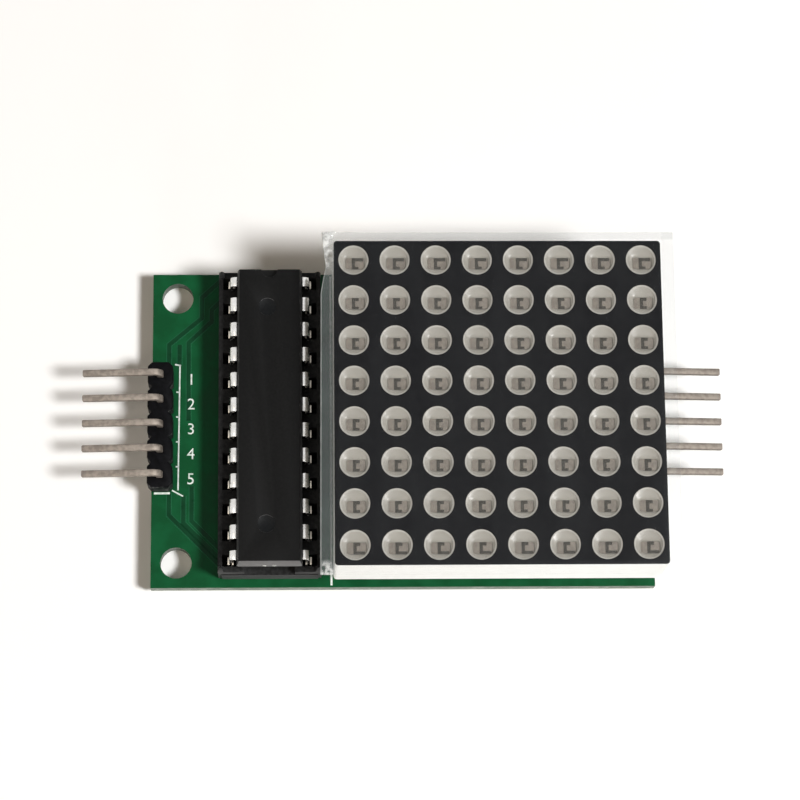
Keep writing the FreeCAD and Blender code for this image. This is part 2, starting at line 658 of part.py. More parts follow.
def ceramic_wires():
    body = new_body("ceramic_capacitor_leads", x="Sizes.ceramic_x", y="Sizes.ceramic_y")
    pair = dict(columns="2", column_gap="Sizes.ceramic_span")
    foot = new_sketch(body, "ceramic_wire_foot", z=TAIL_END, **grid_start(pair))
    add_polygon(foot, "Sizes.wire_dia", HOLE_SIDES)
    length = "Sizes.tail_below + Sizes.board_thick + Sizes.ceramic_lift"
    repeat(body, pad(body, foot, "ceramic_wire", length), "ceramic_wires", **pair)
    return body


def capacitor_can():
    """Aluminium can, rolled in round its rubber bung, with the bung's seat left open."""
    body = new_body("capacitor_can", x=CAN_END, y="Sizes.can_y", z=CAN_AXIS)
    half = new_sketch(body, "can_half", plane="XZ_Plane")
    full, neck = "Sizes.can_dia / 2", "(Sizes.can_dia / 2 - Sizes.can_groove_depth)"
    rim = "(Sizes.can_dia / 2 - Sizes.can_rim)"
    near = "Sizes.can_groove_place"
    far = "(Sizes.can_groove_place + Sizes.can_groove_width)"
    add_outline(half, [
        ("Sizes.bung_depth", "0"), ("Sizes.can_length", "0"), ("Sizes.can_length", full),
        (far, full), (far, neck), (near, neck), (near, full), ("0", full), ("0", rim),
        ("Sizes.bung_depth", rim)])
    revolve(body, half, "can_turned", "H_Axis")
    return body


def capacitor_bung():
    body = new_body("capacitor_bung", x=CAN_END, y="Sizes.can_y", z=CAN_AXIS)
    face = new_sketch(body, "bung_face", plane="YZ_Plane")
    add_circle(face, "Sizes.can_dia - 2 * Sizes.can_rim")
    pad(body, face, "bung_disc", "Sizes.bung_depth")
    return body


def capacitor_wires():
    body = new_body("capacitor_leads", x=f"{CAN_END} - Sizes.can_wire_reach", y="Sizes.can_y")
    for name, side in (("lower", -1), ("upper", 1)):
        y = f"{side} * Sizes.can_wire_gap / 2"
        bent_wire(body, name, "XZ_Plane", 1, "0", "Sizes.can_wire_reach", CAN_AXIS,
                  path_shift=f"-{y}", y=y)
    return body


def check_and_export(parts):
    """Stops on a failed feature or a bad solid, then writes one file for each piece."""
    doc.recompute()
    failed = [item.Name for item in doc.Objects if "Invalid" in item.State or "Error" in item.State]
    if failed:
        raise RuntimeError(f"features that did not compute: {failed}")
    for part in parts:
        if part.Shape.isNull() or not part.Shape.isValid():
            raise RuntimeError(f"{part.Label} has no valid shape")
    os.makedirs("parts", exist_ok=True)
    for part in parts:
        part.Shape.exportStep(f"parts/{part.Label}.step")
        print(part.Label, len(part.Shape.Solids), round(part.Shape.Volume, 2))


fill_sheet()
check_and_export([
    circuit_board(),
    matrix_housing(),
    led_windows(),
    led_board(),
    potting_resin(),
    matrix_pins("matrix_pins_front", -1),
    matrix_pins("matrix_pins_rear", 1),
    protective_film(),
    display_socket("display_socket_front", -1),
    display_socket("display_socket_rear", 1),
    display_contacts("display_contacts_front", -1),
    display_contacts("display_contacts_rear", 1),
    chip_socket(),
    chip_contacts(),
    driver_chip(),
    chip_leads(),
    header_body("input_header", -1),
    header_pins("input_pins", -1),
    header_body("output_header", 1),
    header_pins("output_pins", 1),
    resistor(),
    resistor_wires(),
    ceramic_capacitor(),
    ceramic_wires(),
    capacitor_can(),
    capacitor_bung(),
    capacitor_wires(),
])
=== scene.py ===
from math import cos, pi, radians, sin

import bmesh
import bpy
from mathutils import Matrix, Vector


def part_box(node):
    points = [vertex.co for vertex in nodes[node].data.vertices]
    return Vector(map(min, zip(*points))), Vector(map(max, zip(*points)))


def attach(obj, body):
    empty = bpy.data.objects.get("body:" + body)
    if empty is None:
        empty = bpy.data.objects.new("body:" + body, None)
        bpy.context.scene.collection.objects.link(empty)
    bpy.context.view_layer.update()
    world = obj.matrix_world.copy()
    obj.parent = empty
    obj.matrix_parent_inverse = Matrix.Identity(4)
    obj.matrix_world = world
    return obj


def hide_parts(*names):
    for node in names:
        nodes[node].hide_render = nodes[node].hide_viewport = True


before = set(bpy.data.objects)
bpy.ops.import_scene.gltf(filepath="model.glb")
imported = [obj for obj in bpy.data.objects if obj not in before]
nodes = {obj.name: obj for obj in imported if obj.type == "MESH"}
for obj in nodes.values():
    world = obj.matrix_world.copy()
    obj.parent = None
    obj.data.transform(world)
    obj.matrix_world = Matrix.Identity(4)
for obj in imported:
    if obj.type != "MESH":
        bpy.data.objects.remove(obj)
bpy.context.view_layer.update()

mm = 0.001


def boxOf(node):
    low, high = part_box(node)
    return low / mm, high / mm


shellLow, shellHigh = boxOf("matrix_housing")
boardTop = boxOf("circuit_board")[1].z
faceTop = shellHigh.z
displayX = (shellLow.x + shellHigh.x) / 2
leadPitch = 2.54        # of the header pins and of the chip's leads
overlap = 0.01          # how far a piece is sunk into the one that it stands on
print("frame loaded, board top", round(boardTop, 2), "display face", round(faceTop, 2))


# Meshes and pieces

def newPiece(name, mesh, *materials):
    for material in materials:
        mesh.materials.append(material)
    piece = bpy.data.objects.new(name, mesh)
    bpy.context.scene.collection.objects.link(piece)
    return piece


def meshFrom(bm, name):
    mesh = bpy.data.meshes.new(name)
    bm.to_mesh(mesh)
    bm.free()
    return mesh


def plainMesh(piece):
    # The piece's mesh as its modifiers leave it
    graph = bpy.context.evaluated_depsgraph_get()
    return bpy.data.meshes.new_from_object(piece.evaluated_get(graph), preserve_all_data_layers=True,
                                           depsgraph=graph)


def applyModifiers(piece):
    mesh = plainMesh(piece)
    piece.modifiers.clear()
    piece.data = mesh
    return piece


def smooth(piece, angle=35):
    piece.data.shade_smooth()
    piece.data.set_sharp_from_angle(angle=radians(angle))
    return piece


def settle(piece, replaced=()):
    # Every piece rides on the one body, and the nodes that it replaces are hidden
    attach(piece, "root")
    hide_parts(*replaced)
    return piece


def loopAt(bm, points, z):
    return [bm.verts.new((x * mm, y * mm, z * mm)) for x, y in points]


def bridge(bm, lower, upper, material=0):
    count = len(lower)
    for index in range(count):
        after = (index + 1) % count
        face = bm.faces.new((lower[index], lower[after], upper[after], upper[index]))
        face.material_index = material


def ring(radius, steps, x=0, y=0):
    turns = [2 * pi * (index + 0.5) / steps for index in range(steps)]
    return [(x + radius * cos(turn), y + radius * sin(turn)) for turn in turns]


def roundedBox(halfX, halfY, radius, perCorner, x=0, y=0):
    points = []
    for corner in range(4):
        signX, signY = ((1, 1), (-1, 1), (-1, -1), (1, -1))[corner]
        for index in range(perCorner):
            turn = pi / 2 * (corner + (index + 0.5) / perCorner)
            points.append((x + signX * (halfX - radius) + radius * cos(turn),
                           y + signY * (halfY - radius) + radius * sin(turn)))
    return points


def addBlock(bm, low, high):
    corners = bmesh.ops.create_cube(bm, size=1)["verts"]
    size = [b - a for a, b in zip(low, high)]
    middle = [(a + b) / 2 for a, b in zip(low, high)]
    bmesh.ops.scale(bm, vec=Vector(size) * mm, verts=corners)
    bmesh.ops.translate(bm, vec=Vector(middle) * mm, verts=corners)


def lathe(profile, steps):
    # A closed turned form about X from (x, radius) points whose first and last radius is 0
    bm = bmesh.new()
    firstPole = bm.verts.new((profile[0][0] * mm, 0, 0))
    lastPole = bm.verts.new((profile[-1][0] * mm, 0, 0))
    turns = [2 * pi * index / steps for index in range(steps)]
    rings = [[bm.verts.new((x * mm, radius * mm * cos(turn), radius * mm * sin(turn))) for turn in turns]
             for x, radius in profile[1:-1]]
    for lower, upper in zip(rings, rings[1:]):
        bridge(bm, lower, upper)
    for index in range(steps):
        after = (index + 1) % steps
        bm.faces.new((firstPole, rings[0][after], rings[0][index]))
        bm.faces.new((lastPole, rings[-1][index], rings[-1][after]))
    bmesh.ops.recalc_face_normals(bm, faces=bm.faces)
    return bm


def mergedCopy(node):
    # A node's triangles joined at their edges, with flat stretches made one face
    bm = bmesh.new()
    bm.from_mesh(nodes[node].data)
    bmesh.ops.remove_doubles(bm, verts=bm.verts, dist=0.002 * mm)
    bmesh.ops.dissolve_limit(bm, angle_limit=radians(1), verts=bm.verts, edges=bm.edges)
    return bm


def breakEdges(piece, width, angle):
    # Rounds the edges that turn by more than the angle
    rounding = piece.modifiers.new("edges", "BEVEL")
    rounding.width = width * mm
    rounding.segments = 2
    rounding.limit_method = "ANGLE"
    rounding.angle_limit = radians(angle)
    return applyModifiers(piece)


def softenedNode(node, name, material, slot, width, front=None):
    # A node with its edges broken the way a mould or a die leaves them. A front end face can have its own
    # finish: pale flecks of the snapped end, and painted light from the front
    piece = newPiece(name, meshFrom(mergedCopy(node), name), material)
    if front:
        piece.data.materials.append(front)
        for face in piece.data.polygons:
            face.material_index = 1 if face.normal.y < -0.7 else 0
    return settle(smooth(breakEdges(piece, width, 30)), [node])


# Geometry Nodes trees

def treeInputs(tree, geometryName, inputs):
    # Makes the tree's sockets and returns the identifier of each named input
    tree.interface.new_socket(name=geometryName, in_out="INPUT", socket_type="NodeSocketGeometry")
    names = {}
    for name, kind, value in inputs:
        socket = tree.interface.new_socket(name=name, in_out="INPUT", socket_type="NodeSocket" + kind)
        if value is not None:
            socket.default_value = value
        names[name] = socket.identifier
    tree.interface.new_socket(name="Geometry", in_out="OUTPUT", socket_type="NodeSocketGeometry")
    return names


def addTreeNode(tree, kind, links=None, **settings):
    node = tree.nodes.new(kind)
    for key, value in settings.items():
        setattr(node, key, value)
    for key, value in (links or {}).items():
        if isinstance(value, bpy.types.NodeSocket):
            tree.links.new(value, node.inputs[key])
        else:
            node.inputs[key].default_value = value
    return node


def makeGridTree():
    # Copies of one part in columns and rows, joined to what the carrier already holds
    tree = bpy.data.node_groups.new("gridOfParts", "GeometryNodeTree")
    names = treeInputs(tree, "Carrier", (
        ("part", "Object", None), ("columns", "Int", 8), ("rows", "Int", 8), ("columnPitch", "Float", 4 * mm),
        ("rowPitch", "Float", 4 * mm), ("centre", "Vector", None), ("finish", "Material", None),
        ("repaint", "Bool", True)))
    given = tree.nodes.new("NodeGroupInput").outputs
    offsets = []
    starts = []
    for count, pitch, axis in (("columns", "columnPitch", "X"), ("rows", "rowPitch", "Y")):
        offsets.append(addTreeNode(tree, "ShaderNodeCombineXYZ", {axis: given[pitch]}).outputs[0])
        value = given[count]
        for operation, second in (("SUBTRACT", 1.0), ("MULTIPLY", given[pitch]), ("MULTIPLY", -0.5)):
            value = addTreeNode(tree, "ShaderNodeMath", {0: value, 1: second}, operation=operation).outputs[0]
        starts.append(value)
    corner = addTreeNode(tree, "ShaderNodeCombineXYZ", {"X": starts[0], "Y": starts[1]})
    first = addTreeNode(tree, "ShaderNodeVectorMath", {0: corner.outputs[0], 1: given["centre"]},
                        operation="ADD")
    row = addTreeNode(tree, "GeometryNodeMeshLine", {
        "Count": given["columns"], "Start Location": first.outputs[0], "Offset": offsets[0]}, mode="OFFSET")
    column = addTreeNode(tree, "GeometryNodeMeshLine", {"Count": given["rows"], "Offset": offsets[1]},
                         mode="OFFSET")
    lines = addTreeNode(tree, "GeometryNodeInstanceOnPoints",
                        {"Points": row.outputs[0], "Instance": column.outputs[0]})
    places = addTreeNode(tree, "GeometryNodeRealizeInstances", {0: lines.outputs[0]})
    part = addTreeNode(tree, "GeometryNodeObjectInfo", {"Object": given["part"]}, transform_space="ORIGINAL")
    copies = addTreeNode(tree, "GeometryNodeInstanceOnPoints",
                         {"Points": places.outputs[0], "Instance": part.outputs["Geometry"]})
    real = addTreeNode(tree, "GeometryNodeRealizeInstances", {0: copies.outputs[0]})
    painted = addTreeNode(tree, "GeometryNodeSetMaterial", {
        "Geometry": real.outputs[0], "Selection": given["repaint"], "Material": given["finish"]})
    joined = addTreeNode(tree, "GeometryNodeJoinGeometry")
    tree.links.new(painted.outputs[0], joined.inputs[0])
    tree.links.new(given["Carrier"], joined.inputs[0])
    whole = addTreeNode(tree, "GeometryNodeMergeByDistance",
                        {"Geometry": joined.outputs[0], "Distance": 0.002 * mm})
    tree.links.new(whole.outputs[0], tree.nodes.new("NodeGroupOutput").inputs[0])
    return tree, names


gridTree, gridInputs = makeGridTree()


def gridPiece(name, part, finish, columns, rows, columnPitch, rowPitch, centre, carrier=None, extra=(),
              repaint=True):
    # Repeats a part and returns the result as a plain piece; the part itself goes
    source = newPiece(name + "Part", part)
    piece = newPiece(name, carrier or bpy.data.meshes.new(name), *extra)
    maker = piece.modifiers.new("copies", "NODES")
    maker.node_group = gridTree
    values = dict(part=source, finish=finish, columns=columns, rows=rows, columnPitch=columnPitch * mm,
                  rowPitch=rowPitch * mm, centre=[value * mm for value in centre], repaint=repaint)
    for key, value in values.items():
        maker[gridInputs[key]] = value
    applyModifiers(piece)
    bpy.data.objects.remove(source)
    return piece


def makeWireTree():
    # A round wire along a line of points, with its corners bent to a radius
    tree = bpy.data.node_groups.new("bentWire", "GeometryNodeTree")
    names = treeInputs(tree, "Path", (("wireRadius", "Float", 0.25 * mm), ("bendRadius", "Float", mm),
                                      ("roundSteps", "Int", 14), ("finish", "Material", None)))
    given = tree.nodes.new("NodeGroupInput").outputs
    path = addTreeNode(tree, "GeometryNodeMeshToCurve", {0: given["Path"]})
    bent = addTreeNode(tree, "GeometryNodeFilletCurve", {
        "Curve": path.outputs[0], "Radius": given["bendRadius"], "Limit Radius": True, "Count": 7},
        mode="POLY")
    section = addTreeNode(tree, "GeometryNodeCurvePrimitiveCircle", {
        "Resolution": given["roundSteps"], "Radius": given["wireRadius"]})
    tube = addTreeNode(tree, "GeometryNodeCurveToMesh", {
        "Curve": bent.outputs[0], "Profile Curve": section.outputs[0], "Fill Caps": True})
    painted = addTreeNode(tree, "GeometryNodeSetMaterial", {
        "Geometry": tube.outputs[0], "Material": given["finish"]})
    tree.links.new(painted.outputs[0], tree.nodes.new("NodeGroupOutput").inputs[0])
    return tree, names


wireTree, wireInputs = makeWireTree()


def wirePiece(name, routes, radius, bend, finish):
    # One piece of several bent wires, each a list of points in millimetres
    bm = bmesh.new()
    for route in routes:
        points = [bm.verts.new(Vector(point) * mm) for point in route]
        for pair in zip(points, points[1:]):
            bm.edges.new(pair)
    piece = newPiece(name, meshFrom(bm, name))
    maker = piece.modifiers.new("wire", "NODES")
    maker.node_group = wireTree
    for key, value in dict(wireRadius=radius * mm, bendRadius=bend * mm, finish=finish).items():
        maker[wireInputs[key]] = value
    return smooth(applyModifiers(piece), 60)


# Materials

def shaderOf(material):
    return material.node_tree.nodes["Principled BSDF"]


def startMaterial(name, colour, roughness, metallic=0.0, **sockets):
    material = bpy.data.materials.new(name)
    material.use_nodes = True
    values = {"Base Color": (*colour, 1), "Roughness": roughness, "Metallic": metallic, **sockets}
    for key, value in values.items():
        shaderOf(material).inputs[key].default_value = value
    return material


def setLink(material, name, value):
    material.node_tree.links.new(value, shaderOf(material).inputs[name])


def addNode(material, kind, links=None, **settings):
    return addTreeNode(material.node_tree, "ShaderNode" + kind, links, **settings)


def compute(material, operation, first, second=0.0):
    return addNode(material, "Math", {0: first, 1: second}, operation=operation).outputs[0]


def objectPlace(material):
    return addNode(material, "TexCoord").outputs["Object"]


def axes(material):
    return addNode(material, "SeparateXYZ", {0: objectPlace(material)}).outputs


def noise(material, perMm, detail=3.0, roughness=0.5, stretch=None):
    # Noise whose grain is given as cells per millimetre
    place = objectPlace(material)
    if stretch:
        place = addNode(material, "Mapping", {"Vector": place, "Scale": stretch}).outputs[0]
    return addNode(material, "TexNoise", {"Vector": place, "Scale": perMm / mm, "Detail": detail,
                                          "Roughness": roughness}).outputs[0]


def ramp(material, value, low, high, fromValue=0.0, toValue=1.0):
    return addNode(material, "MapRange", {"Value": value, "From Min": low, "From Max": high,
                                          "To Min": fromValue, "To Max": toValue}).outputs[0]


def mixColour(material, factor, *shades):
    # Sockets 6 and 7 of the node are its two colours, and output 2 is the mixed one
    first, second = [shade if isinstance(shade, bpy.types.NodeSocket) else (*shade, 1) for shade in shades]
    return addNode(material, "Mix", {0: factor, 6: first, 7: second}, data_type="RGBA").outputs[2]


def baseColour(material):
    return shaderOf(material).inputs["Base Color"].links[0].from_socket


def speckled(name, colour, other, perMm, roughness, bumpDepth, low=0.4, high=0.6, metallic=0.0, **sockets):
    # A finish with two shades in a grain of so many cells per millimetre, a slightly uneven gloss and, where
    # bumpDepth gives its height in millimetres, a finer relief
    material = startMaterial(name, colour, roughness, metallic, **sockets)
    cloud = noise(material, perMm)
    setLink(material, "Base Color", mixColour(material, ramp(material, cloud, low, high), colour, other))
    setLink(material, "Roughness", ramp(material, cloud, 0.3, 0.7, roughness - 0.06, roughness + 0.08))
    if bumpDepth:
        relief = addNode(material, "Bump", {"Height": noise(material, perMm * 3, 4.0),
                                            "Distance": bumpDepth * mm, "Strength": 1.0})
        setLink(material, "Normal", relief.outputs[0])
    return material


# Moulded blacks throw little light back
dull = {"Specular IOR Level": 0.1}
dead = {"Specular IOR Level": 0.04}
dusty = {"Specular IOR Level": 0.07, "Sheen Weight": 0.05, "Sheen Roughness": 0.5}

greenMask = speckled("greenMask", (0.003, 0.066, 0.020), (0.004, 0.084, 0.027), 0.5, 0.34, 0.004, **dull)
traceMask = speckled("traceMask", (0.002, 0.038, 0.013), (0.003, 0.048, 0.017), 0.6, 0.30, 0.003, **dull)
# Painted highlight: a paler green rim of mask along each trace, for the light on the copper's raised edges
traceHighlightRim = speckled("traceHighlightRim", (0.011, 0.100, 0.042), (0.015, 0.120, 0.050), 0.6, 0.30, 0.003, **dull)
whiteInk = speckled("whiteInk", (0.84, 0.88, 0.84), (0.60, 0.70, 0.63), 2.5, 0.5, 0.006)

whitePlastic = speckled("whitePlastic", (0.80, 0.80, 0.77), (0.775, 0.775, 0.745), 1.6, 0.45, 0.003)
# The wells' walls are the shell's white plastic painted darker, as painted shade for the depth of the
# resin-filled wells
cupWhitePaintedShade = speckled("cupWhitePaintedShade", (0.395, 0.376, 0.331), (0.355, 0.337, 0.296), 0.6, 0.35, 0.003)
blackPrint = speckled("blackPrint", (0.0025, 0.0025, 0.0035), (0.0035, 0.0035, 0.0045), 1.2, 0.45, 0.005,
                      **dull)
milkyResin = speckled("milkyResin", (0.47, 0.45, 0.40), (0.43, 0.41, 0.36), 0.8, 0.16, 0.0, IOR=1.5,
                      Alpha=0.15)
# Painted highlight: a paler, less clear ring at each window's rim
resinRimHighlight = speckled("resinRimHighlight", (0.68, 0.66, 0.61), (0.60, 0.58, 0.53), 0.8, 0.16, 0.0, IOR=1.5, Alpha=0.60)
resinFlank = startMaterial("resinFlank", (0.60, 0.58, 0.52), 0.3, Alpha=0.02)
padBrown = speckled("padBrown", (0.16, 0.136, 0.112), (0.22, 0.188, 0.155), 2.5, 0.45, 0.004)
padMark = speckled("padMark", (0.006, 0.005, 0.004), (0.012, 0.010, 0.009), 3.0, 0.4, 0.004, **dull)
paleLaminate = speckled("paleLaminate", (0.66, 0.62, 0.48), (0.58, 0.54, 0.42), 0.6, 0.5, 0.006)
pottingGel = speckled("pottingGel", (0.62, 0.62, 0.57), (0.70, 0.70, 0.66), 0.25, 0.22, 0.02)

blackNylon = speckled("blackNylon", (0.009, 0.009, 0.009), (0.021, 0.021, 0.021), 3.0, 0.48, 0.012, **dusty)
headerBlack = speckled("headerBlack", (0.003, 0.003, 0.0035), (0.005, 0.005, 0.006), 2.2, 0.44, 0.010, **dead)
# The headers' front end: pale flecks of the snapped end, which also stand as painted light on the face toward
# the front lamp
headerEndPaintedLight = speckled("headerEndPaintedLight", (0.005, 0.005, 0.006), (0.085, 0.085, 0.082), 2.6, 0.5, 0.012,
                     0.52, 0.66, **dead)
chipBlack = speckled("chipBlack", (0.006, 0.006, 0.006), (0.008, 0.008, 0.008), 4.0, 0.58, 0.012, **dusty)
chipMark = speckled("chipMark", (0.003, 0.0035, 0.004), (0.005, 0.0055, 0.006), 4.0, 0.40, 0.004, **dull)
# The chip's end faces: a rougher finish, painted far lighter than the body as painted light from the front
chipEndPaintedLight = speckled("chipEndPaintedLight", (0.084, 0.082, 0.080), (0.106, 0.103, 0.102), 3.0, 0.62, 0.015)

brightTin = speckled("brightTin", (0.80, 0.79, 0.77), (0.70, 0.69, 0.66), 1.5, 0.24, 0.006, metallic=1.0)
dullTin = speckled("dullTin", (0.205, 0.175, 0.148), (0.31, 0.27, 0.23), 2.2, 0.62, 0.008, metallic=0.7)
# The output pins' tin is the input pins' tin painted darker as shade, so the pins nearer the key lamp are not
# lit brighter
tinPaintedShade = speckled("tinPaintedShade", (0.160, 0.137, 0.116), (0.24, 0.21, 0.18), 2.2, 0.62, 0.008, metallic=0.7)
wireTin = speckled("wireTin", (0.72, 0.71, 0.68), (0.62, 0.61, 0.58), 1.2, 0.28, 0.006, metallic=1.0)
springTin = speckled("springTin", (0.66, 0.62, 0.54), (0.56, 0.52, 0.45), 1.2, 0.30, 0.006, metallic=1.0)
solder = speckled("solder", (0.62, 0.62, 0.61), (0.50, 0.50, 0.49), 2.0, 0.30, 0.010, metallic=1.0)

ochreDip = speckled("ochreDip", (0.62, 0.30, 0.06), (0.70, 0.38, 0.09), 0.7, 0.30, 0.02)
bungRubber = speckled("bungRubber", (0.018, 0.018, 0.018), (0.03, 0.03, 0.03), 2.0, 0.7, 0.01)
bandedLacquer = speckled("bandedLacquer", (0.30, 0.50, 0.62), (0.26, 0.44, 0.56), 0.5, 0.25, 0.01)
sleeve = speckled("sleeve", (0.02, 0.028, 0.07), (0.03, 0.038, 0.085), 0.8, 0.25, 0.006)

# The board's cut edge shows its laminate, with a weave and a few pale flecks, between the masked faces
edgeLook = dict(fibre=(0.055, 0.080, 0.055), resin=(0.11, 0.14, 0.10), fleck=(0.34, 0.38, 0.32), mask=0.07,
                blend=0.03)
height = compute(greenMask, "MULTIPLY", axes(greenMask)[2], 1 / mm)
fromMiddle = compute(greenMask, "ABSOLUTE", compute(greenMask, "SUBTRACT", height, boardTop / 2))
maskStart = boardTop / 2 - edgeLook["mask"]
onEdge = ramp(greenMask, fromMiddle, maskStart, maskStart + edgeLook["blend"], 1.0, 0.0)
weave = noise(greenMask, 2.2, 4.0, 0.7, (1, 1, 3))
laminate = mixColour(greenMask, ramp(greenMask, weave, 0.38, 0.62), edgeLook["fibre"], edgeLook["resin"])
flecks = noise(greenMask, 1.1, 3.0, 0.6, (1, 1, 6))
laminate = mixColour(greenMask, ramp(greenMask, flecks, 0.60, 0.66), laminate, edgeLook["fleck"])
setLink(greenMask, "Base Color", mixColour(greenMask, onEdge, baseColour(greenMask), laminate))

# The resistor's colour bands run around it, at shares of its length
resistorHalf = 3.15
brown, red, black = (0.20, 0.06, 0.02), (0.45, 0.06, 0.02), (0.01, 0.01, 0.01)
bandColours = ((0.16, brown), (0.25, None), (0.36, black), (0.44, None), (0.52, red), (0.60, None),
               (0.80, brown), (0.88, None))
along = ramp(bandedLacquer, axes(bandedLacquer)[1], -resistorHalf * mm, resistorHalf * mm)
bands = addNode(bandedLacquer, "ValToRGB", {0: along})
bands.color_ramp.interpolation = "CONSTANT"
for place, colour in bandColours:
    bands.color_ramp.elements.new(place).color = (*colour, 1) if colour else (0, 0, 0, 0)
bands.color_ramp.elements[0].color = bands.color_ramp.elements[-1].color = (0, 0, 0, 0)
banded = mixColour(bandedLacquer, bands.outputs["Alpha"], baseColour(bandedLacquer), bands.outputs["Color"])
setLink(bandedLacquer, "Base Color", banded)

# The film is nearly clear on the face and hazier where it stands past it. Where it is creased it is hazier
# still and whiter, the white a painted highlight for the glints on its wrinkles
filmLook = dict(colour=(0.42, 0.46, 0.46), white=(0.88, 0.89, 0.87), clear=0.004, streaks=0.008, left=0.09,
                right=0.05, back=0.12, creases=((-8.2, 15.0, 2.8, 0.75), (-7.9, -16.6, 1.3, 1.0)))
clearFilm = startMaterial("clearFilm", filmLook["colour"], 0.07, IOR=1.5)
filmX, filmY = axes(clearFilm)[:2]
streaky = noise(clearFilm, 0.35, 3.0, 0.5, (1, 0.25, 1))
haze = ramp(clearFilm, streaky, 0.35, 0.75, 0.0, filmLook["streaks"])
for axis, start, full, side in ((filmX, shellLow.x + 0.1, shellLow.x - 0.15, "left"),
                                (filmX, shellHigh.x - 0.05, shellHigh.x + 0.15, "right"),
                                (filmY, shellHigh.y - 0.05, shellHigh.y + 0.15, "back")):
    haze = compute(clearFilm, "ADD", haze, ramp(clearFilm, axis, start * mm, full * mm, 0.0, filmLook[side]))
creased = ramp(clearFilm, noise(clearFilm, 1.3, 3.0, 0.6), 0.38, 0.62)
beside = ramp(clearFilm, filmX, (shellLow.x + 0.15) * mm, (shellLow.x - 0.1) * mm)
paintedCreaseGlint = 0.0
# Each crease patch adds haze and a white that is a painted highlight for the glints on the wrinkled film
for x, y, reach, strength in filmLook["creases"]:
    away = addNode(clearFilm, "VectorMath", {0: objectPlace(clearFilm), 1: (x * mm, y * mm, faceTop * mm)},
                   operation="DISTANCE").outputs["Value"]
    patch = ramp(clearFilm, away, 0.0, reach * mm, strength, 0.0)
    patch = compute(clearFilm, "MULTIPLY", compute(clearFilm, "MULTIPLY", patch, creased), beside)
    haze = compute(clearFilm, "ADD", haze, patch)
    paintedCreaseGlint = compute(clearFilm, "ADD", paintedCreaseGlint, patch)
setLink(clearFilm, "Base Color", mixColour(clearFilm, ramp(clearFilm, paintedCreaseGlint, 0.0, 0.4), filmLook["colour"],
                                           filmLook["white"]))
setLink(clearFilm, "Alpha", compute(clearFilm, "ADD", haze, filmLook["clear"]))
filmRim = speckled("filmRim", (0.62, 0.65, 0.63), (0.50, 0.53, 0.51), 1.5, 0.2, 0.0, IOR=1.5, Alpha=0.42)
print("materials made:", len(bpy.data.materials))


# Circuit board

board = dict(traceWidth=0.42, traceRise=0.035, traceHighlightRim=0.08, rimRise=0.02, inkRise=0.045, lineWidth=0.20,
             fineWidth=0.14, digitHeight=1.15, digitX=-21.5, digitDrop=-0.5, digitHalf=0.01)


def addRibbon(bm, points, width, low, high):
    # A flat ribbon with mitred corners along a line of points
    points = [Vector(point) for point in points]
    sides = []
    for index, point in enumerate(points):
        before = (point - points[index - 1]).normalized() if index else None
        after = (points[index + 1] - point).normalized() if index + 1 < len(points) else None
        way = ((before or after) + (after or before)).normalized()
        stretch = 1 / max(0.5, way.dot(before or after))
        side = Vector((-way.y, way.x)) * width / 2 * stretch
        sides.append((point + side, point - side))
    levels = [[[bm.verts.new((spot.x * mm, spot.y * mm, z * mm)) for spot in pair] for pair in sides]
              for z in (low, high)]
    for index in range(len(points) - 1):
        (a, b), (c, d) = levels[1][index], levels[1][index + 1]
        (e, f), (g, h) = levels[0][index], levels[0][index + 1]
        for corners in ((a, b, d, c), (f, e, g, h), (e, a, c, g), (b, f, h, d)):
            bm.faces.new(corners)
    for end in (0, -1):
        (a, b), (e, f) = levels[1][end], levels[0][end]
        bm.faces.new((a, e, f, b))
    bmesh.ops.recalc_face_normals(bm, faces=bm.faces)


# Points of the six traces, as they come out from under the chip's socket
traces = (((-18.1, 15.45), (-20.1, 13.6), (-20.1, 11.45), (-23.35, 8.7), (-23.35, 6.6)),
          ((-18.1, 13.3), (-19.1, 12.3), (-19.1, 11.1), (-21.4, 8.9), (-21.35, 0.9)),
          ((-22.3, 8.7), (-22.3, 6.6)),
          ((-23.25, -6.4), (-23.25, -8.7), (-18.2, -13.75)),
          ((-21.8, -6.75), (-21.8, -9.5), (-18.2, -13.1)),
          ((-21.0, -5.8), (-21.0, -9.3), (-18.2, -12.1)))
laidAt = boardTop - overlap
bm = bmesh.new()
for route in traces:
    # A paler rim of mask beside each trace is a painted highlight on the copper's raised edges
    addRibbon(bm, route, board["traceWidth"] + 2 * board["traceHighlightRim"], laidAt, boardTop + board["rimRise"])
for face in bm.faces:
    face.material_index = 1
for route in traces:
    addRibbon(bm, route, board["traceWidth"], laidAt, boardTop + board["traceRise"])
settle(newPiece("boardTraces", meshFrom(bm, "boardTraces"), traceMask, traceHighlightRim))

